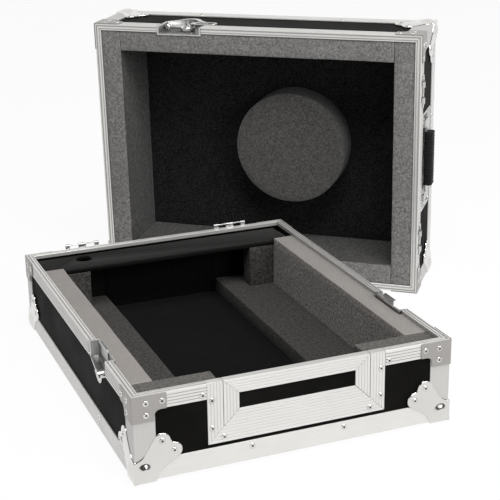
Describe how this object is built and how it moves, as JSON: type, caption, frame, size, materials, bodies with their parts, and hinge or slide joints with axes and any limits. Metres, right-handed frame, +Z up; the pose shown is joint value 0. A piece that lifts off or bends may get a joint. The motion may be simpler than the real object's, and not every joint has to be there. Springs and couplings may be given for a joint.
{
  "type": "cd player flight case",
  "caption": "Foam-lined plywood road case for a table-top CD player, with a lift-out front hatch and its separate lid standing on one side behind the base.",
  "frame": {"origin": "the floor under the middle of the box round the base and the standing lid", "axes": "+Z up, +Y from the hatch to the shelf end of the base, +X to the right seen from the hatch"},
  "size_m": [0.6834, 0.85, 0.4251],
  "materials": {
    "laminate": "black phenolic laminate on plywood, satin",
    "aluminium": "natural, lightly brushed",
    "foam_light": "speckled grey foam, matt",
    "foam_dark": "dark grey foam, matt",
    "chrome": "bright plated steel",
    "rubber": "moulded, matt"
  },
  "bodies": {
    "base": {"base_bottom_panel": "laminate", "base_front_panel": "laminate", "base_back_panel": "laminate", "base_left_panel": "laminate", "base_right_panel": "laminate", "base_edge_frame": "aluminium", "base_ball_corner_front_left": "aluminium", "base_ball_corner_front_right": "aluminium", "base_ball_corner_back_right": "aluminium", "base_ball_corner_back_left": "aluminium", "base_rim_front_left": "aluminium", "base_rim_front_right": "aluminium", "base_rim_back": "aluminium", "hatch_frame": "aluminium", "latch_keeper_left": "chrome", "latch_keeper_right": "chrome", "hinge_pin_left": "chrome", "hinge_pin_right": "chrome", "foam_bar_left": "foam_light", "foam_bar_right": "foam_light", "foam_front_left": "foam_light", "foam_front_right": "foam_light", "foam_ledge_left": "foam_dark", "foam_ledge_right": "foam_dark", "rear_shelf": "foam_dark"},
    "hatch": {"hatch_panel": "laminate", "hatch_trim": "aluminium"},
    "lid": {"lid_top_panel": "laminate", "lid_front_panel": "laminate", "lid_back_panel": "laminate", "lid_left_panel": "laminate", "lid_right_panel": "laminate", "lid_edge_frame": "aluminium", "lid_ball_corner_front_left": "aluminium", "lid_ball_corner_front_right": "aluminium", "lid_ball_corner_back_right": "aluminium", "lid_ball_corner_back_left": "aluminium", "lid_rim_front": "aluminium", "lid_rim_back": "aluminium", "lid_foam_ring": "foam_light", "lid_foam_disc": "foam_dark", "latch_dish_left": "chrome", "latch_dish_right": "chrome", "hinge_hook_left": "chrome", "hinge_hook_right": "chrome", "handle_dish": "chrome"},
    "handle": {"handle_bail": "chrome", "handle_grip": "rubber"},
    "rotor_left": {"latch_rotor_left": "chrome"},
    "wing_left": {"latch_wing_left": "chrome"},
    "rotor_right": {"latch_rotor_right": "chrome"},
    "wing_right": {"latch_wing_right": "chrome"}
  },
  "joints": [
    {"name": "hatch_lift", "type": "slide", "parent": "base", "child": "hatch", "axis": [0, 0, 1], "range_m": [0, 0.065]},
    {"name": "lid_lift", "type": "slide", "parent": "base", "child": "lid", "axis": [0, 0, 1], "range_m": [0, 0.3]},
    {"name": "handle_swing", "type": "hinge", "parent": "lid", "child": "handle", "pos_m": [0.27868, 0.01857, 0.21046], "axis": [0.0198, 0.0239, -0.9995], "range_deg": [0, 90], "stiffness_Nm_per_rad": 0.03},
    {"name": "latch_turn_left", "type": "hinge", "parent": "lid", "child": "rotor_left", "pos_m": [-0.02233, 0.24776, 0.41757], "axis": [-0.0198, -0.0239, 0.9995], "range_deg": [0, 90]},
    {"name": "wing_fold_left", "type": "hinge", "parent": "rotor_left", "child": "wing_left", "pos_m": [-0.01767, 0.24399, 0.41497], "axis": [-0.6385, -0.769, -0.031], "range_deg": [0, 90]},
    {"name": "latch_turn_right", "type": "hinge", "parent": "lid", "child": "rotor_right", "pos_m": [-0.01411, 0.25767, 0.00277], "axis": [-0.0198, -0.0239, 0.9995], "range_deg": [0, 90]},
    {"name": "wing_fold_right", "type": "hinge", "parent": "rotor_right", "child": "wing_right", "pos_m": [-0.00954, 0.25377, 0.00537], "axis": [0.6385, 0.769, 0.031], "range_deg": [0, 90]}
  ]
}
